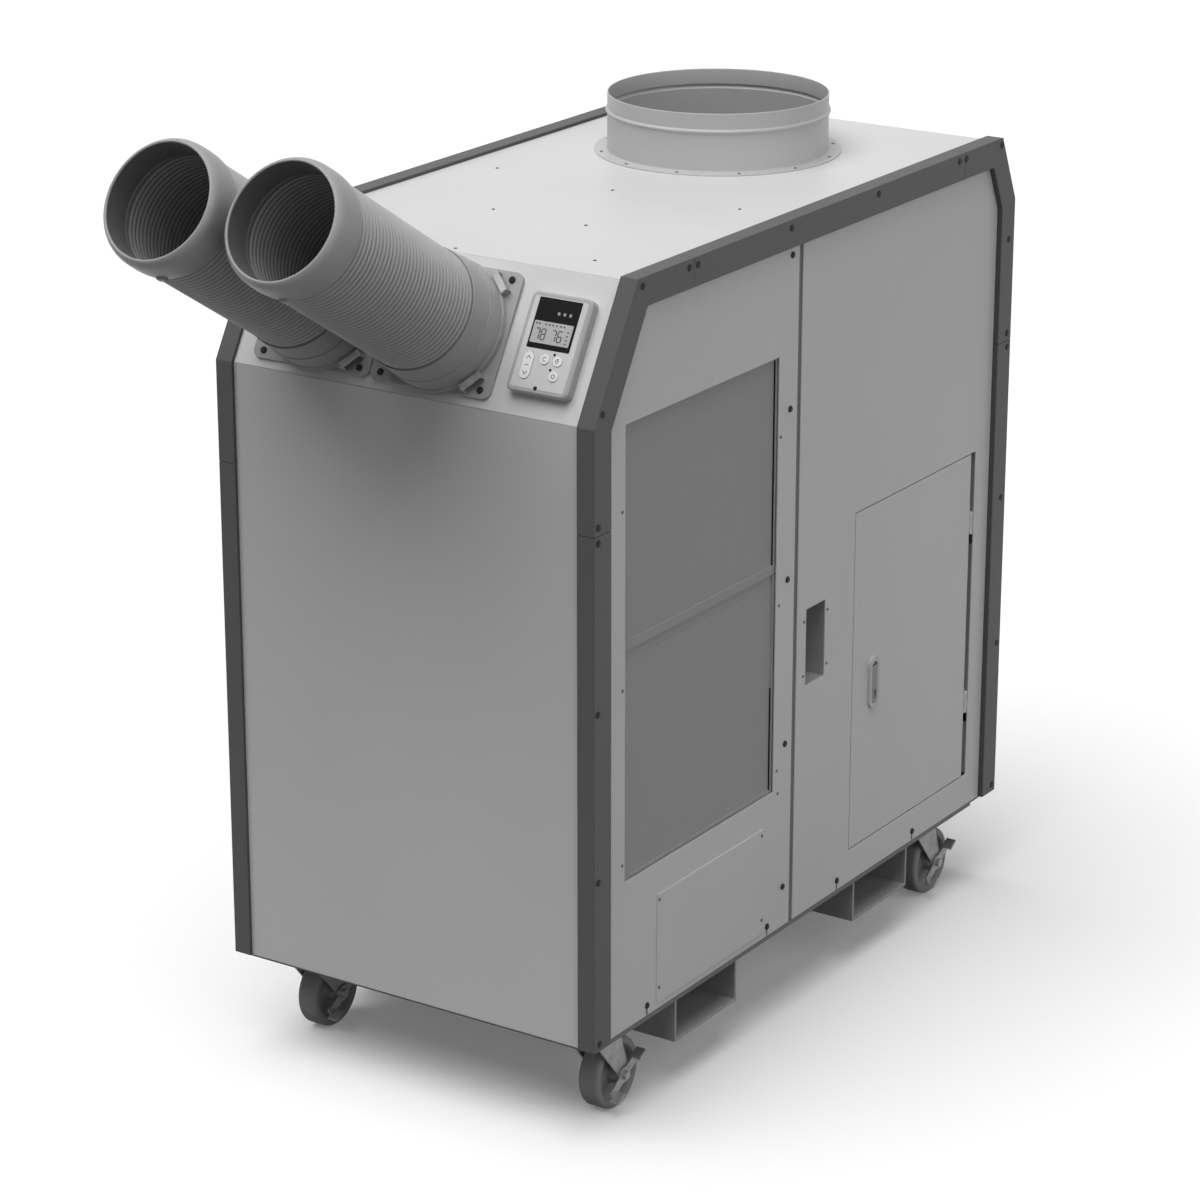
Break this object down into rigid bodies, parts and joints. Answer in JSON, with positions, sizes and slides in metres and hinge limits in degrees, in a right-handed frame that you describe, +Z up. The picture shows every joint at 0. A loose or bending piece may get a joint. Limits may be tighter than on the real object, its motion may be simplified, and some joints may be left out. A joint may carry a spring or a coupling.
{
  "type": "portable spot cooler",
  "caption": "Tall portable spot cooler on swivel casters with ribbed cold-air nozzles on its sloping nose, a round exhaust collar on the roof, side intake filters and a service door.",
  "frame": {"origin": "on the floor under the middle of the bounding box", "axes": "+Z up, -Y the front that the nozzles point over, +X the side with the filters and the door"},
  "size_m": [0.5836, 1.3999, 1.3181],
  "materials": {
    "panel_coat": "fine powder coat, satin",
    "trim_coat": "satin powder coat",
    "frame_steel": "plain coat",
    "tube_steel": "plain coat",
    "filter_mesh": "fine mesh",
    "dark_plastic": "moulded",
    "nozzle_plastic": "smooth moulded",
    "hose_plastic": "ribbed, satin",
    "bright_steel": "bright",
    "control_plastic": "moulded",
    "display_cover": "glossy black window",
    "key_plastic": "moulded",
    "coil_fins": "finned",
    "machine_paint": "gloss enamel",
    "galvanised": "zinc coated",
    "tank_plastic": "moulded",
    "caster_zinc": "zinc plated",
    "caster_tread": "grey rubber"
  },
  "bodies": {
    "cabinet": {"base_pan": "frame_steel", "blower_housing": "galvanised", "blower_motor": "machine_paint", "caster_mounts": "caster_zinc", "compressor": "machine_paint", "condenser_coil": "coil_fins", "control_display": "display_cover", "control_housing": "control_plastic", "door_hinges": "frame_steel", "drain_tank": "tank_plastic", "evaporator_coil": "coil_fins", "exhaust_collar": "panel_coat", "exhaust_fan_motor": "machine_paint", "fork_tubes": "tube_steel", "frame": "frame_steel", "front_panel": "panel_coat", "grip_pockets": "dark_plastic", "left_cuff": "nozzle_plastic", "left_front_panel": "panel_coat", "left_hose": "hose_plastic", "left_nozzle_plate": "nozzle_plastic", "left_rear_panel": "panel_coat", "left_trims": "trim_coat", "lower_cover": "panel_coat", "lower_filter": "filter_mesh", "nose_panel": "panel_coat", "nozzle_clips": "bright_steel", "rear_panel": "panel_coat", "right_cuff": "nozzle_plastic", "right_front_panel": "panel_coat", "right_hose": "hose_plastic", "right_nozzle_plate": "nozzle_plastic", "right_rear_panel": "panel_coat", "right_trims": "trim_coat", "roof_panel": "panel_coat", "upper_filter": "filter_mesh"},
    "right_nozzle": {"right_end_ring": "nozzle_plastic"},
    "left_nozzle": {"left_end_ring": "nozzle_plastic"},
    "door": {"access_door": "panel_coat", "latch_bezel": "dark_plastic"},
    "latch": {"latch_lever": "dark_plastic"},
    "rocker": {"temperature_rocker": "key_plastic"},
    "mode_button": {"mode_key": "key_plastic"},
    "timer_button": {"timer_key": "key_plastic"},
    "power_button": {"power_key": "key_plastic"},
    "fan": {"exhaust_fan": "dark_plastic"},
    "blower": {"blower_wheel": "galvanised"},
    "front_right_caster": {"front_right_caster_fork": "caster_zinc"},
    "front_right_roller": {"front_right_wheel": "caster_tread"},
    "front_right_brake": {"front_right_brake_lever": "caster_zinc"},
    "rear_right_caster": {"rear_right_caster_fork": "caster_zinc"},
    "rear_right_roller": {"rear_right_wheel": "caster_tread"},
    "rear_right_brake": {"rear_right_brake_lever": "caster_zinc"},
    "front_left_caster": {"front_left_caster_fork": "caster_zinc"},
    "front_left_roller": {"front_left_wheel": "caster_tread"},
    "front_left_brake": {"front_left_brake_lever": "caster_zinc"},
    "rear_left_caster": {"rear_left_caster_fork": "caster_zinc"},
    "rear_left_roller": {"rear_left_wheel": "caster_tread"},
    "rear_left_brake": {"rear_left_brake_lever": "caster_zinc"}
  },
  "joints": [
    {"name": "right_nozzle_aim", "type": "hinge", "parent": "cabinet", "child": "right_nozzle", "pos_m": [0.03633, -0.50882, 1.15797], "axis": [0.9999, -0.0157, 0], "range_deg": [-20, 20], "deforming": ["right_hose"]},
    {"name": "left_nozzle_aim", "type": "hinge", "parent": "cabinet", "child": "left_nozzle", "pos_m": [-0.14867, -0.50882, 1.15797], "axis": [0.9999, -0.0157, 0], "range_deg": [-20, 20], "deforming": ["left_hose"]},
    {"name": "door_swing", "type": "hinge", "parent": "cabinet", "child": "door", "pos_m": [0.28125, 0.61266, 0.4365], "axis": [0, 0, 1], "range_deg": [0, 110]},
    {"name": "latch_pull", "type": "hinge", "parent": "door", "child": "latch", "pos_m": [0.28615, 0.33116, 0.446], "axis": [0, -1, 0], "range_deg": [0, 35], "stiffness_Nm_per_rad": 0.02, "springref_deg": -20.05},
    {"name": "temperature_tilt", "type": "hinge", "parent": "cabinet", "child": "rocker", "pos_m": [0.178, -0.36255, 1.02933], "axis": [1, 0, 0], "range_deg": [-3, 3], "stiffness_Nm_per_rad": 0.02},
    {"name": "mode_press", "type": "slide", "parent": "cabinet", "child": "mode_button", "axis": [0, 0.8647, -0.5023], "range_m": [0, 0.0012], "stiffness_N_per_m": 250, "springref_m": -0.001},
    {"name": "timer_press", "type": "slide", "parent": "cabinet", "child": "timer_button", "axis": [0, 0.8647, -0.5023], "range_m": [0, 0.0012], "stiffness_N_per_m": 250, "springref_m": -0.001},
    {"name": "power_press", "type": "slide", "parent": "cabinet", "child": "power_button", "axis": [0, 0.8647, -0.5023], "range_m": [0, 0.0012], "stiffness_N_per_m": 250, "springref_m": -0.001},
    {"name": "exhaust_fan_spin", "type": "hinge", "parent": "cabinet", "child": "fan", "pos_m": [-0.018, 0.39416, 1.071], "axis": [0, 0, 1], "continuous": true},
    {"name": "blower_spin", "type": "hinge", "parent": "cabinet", "child": "blower", "pos_m": [-0.0535, -0.16884, 0.69], "axis": [1, 0, 0], "continuous": true},
    {"name": "front_right_swivel", "type": "hinge", "parent": "cabinet", "child": "front_right_caster", "pos_m": [0.231, -0.29984, 0.131], "axis": [0, 0, 1], "continuous": true},
    {"name": "front_right_roll", "type": "hinge", "parent": "front_right_caster", "child": "front_right_roller", "pos_m": [0.231, -0.26284, 0.05], "axis": [1, 0, 0], "continuous": true},
    {"name": "front_right_brake_press", "type": "hinge", "parent": "front_right_caster", "child": "front_right_brake", "pos_m": [0.231, -0.26284, 0.05], "axis": [1, 0, 0], "range_deg": [-10, 10]},
    {"name": "rear_right_swivel", "type": "hinge", "parent": "cabinet", "child": "rear_right_caster", "pos_m": [0.231, 0.55316, 0.131], "axis": [0, 0, 1], "continuous": true},
    {"name": "rear_right_roll", "type": "hinge", "parent": "rear_right_caster", "child": "rear_right_roller", "pos_m": [0.231, 0.59016, 0.05], "axis": [1, 0, 0], "continuous": true},
    {"name": "rear_right_brake_press", "type": "hinge", "parent": "rear_right_caster", "child": "rear_right_brake", "pos_m": [0.231, 0.59016, 0.05], "axis": [1, 0, 0], "range_deg": [-10, 10]},
    {"name": "front_left_swivel", "type": "hinge", "parent": "cabinet", "child": "front_left_caster", "pos_m": [-0.231, -0.29984, 0.131], "axis": [0, 0, 1], "continuous": true},
    {"name": "front_left_roll", "type": "hinge", "parent": "front_left_caster", "child": "front_left_roller", "pos_m": [-0.231, -0.26284, 0.05], "axis": [1, 0, 0], "continuous": true},
    {"name": "front_left_brake_press", "type": "hinge", "parent": "front_left_caster", "child": "front_left_brake", "pos_m": [-0.231, -0.26284, 0.05], "axis": [1, 0, 0], "range_deg": [-10, 10]},
    {"name": "rear_left_swivel", "type": "hinge", "parent": "cabinet", "child": "rear_left_caster", "pos_m": [-0.231, 0.55316, 0.131], "axis": [0, 0, 1], "continuous": true},
    {"name": "rear_left_roll", "type": "hinge", "parent": "rear_left_caster", "child": "rear_left_roller", "pos_m": [-0.231, 0.59016, 0.05], "axis": [1, 0, 0], "continuous": true},
    {"name": "rear_left_brake_press", "type": "hinge", "parent": "rear_left_caster", "child": "rear_left_brake", "pos_m": [-0.231, 0.59016, 0.05], "axis": [1, 0, 0], "range_deg": [-10, 10]}
  ]
}
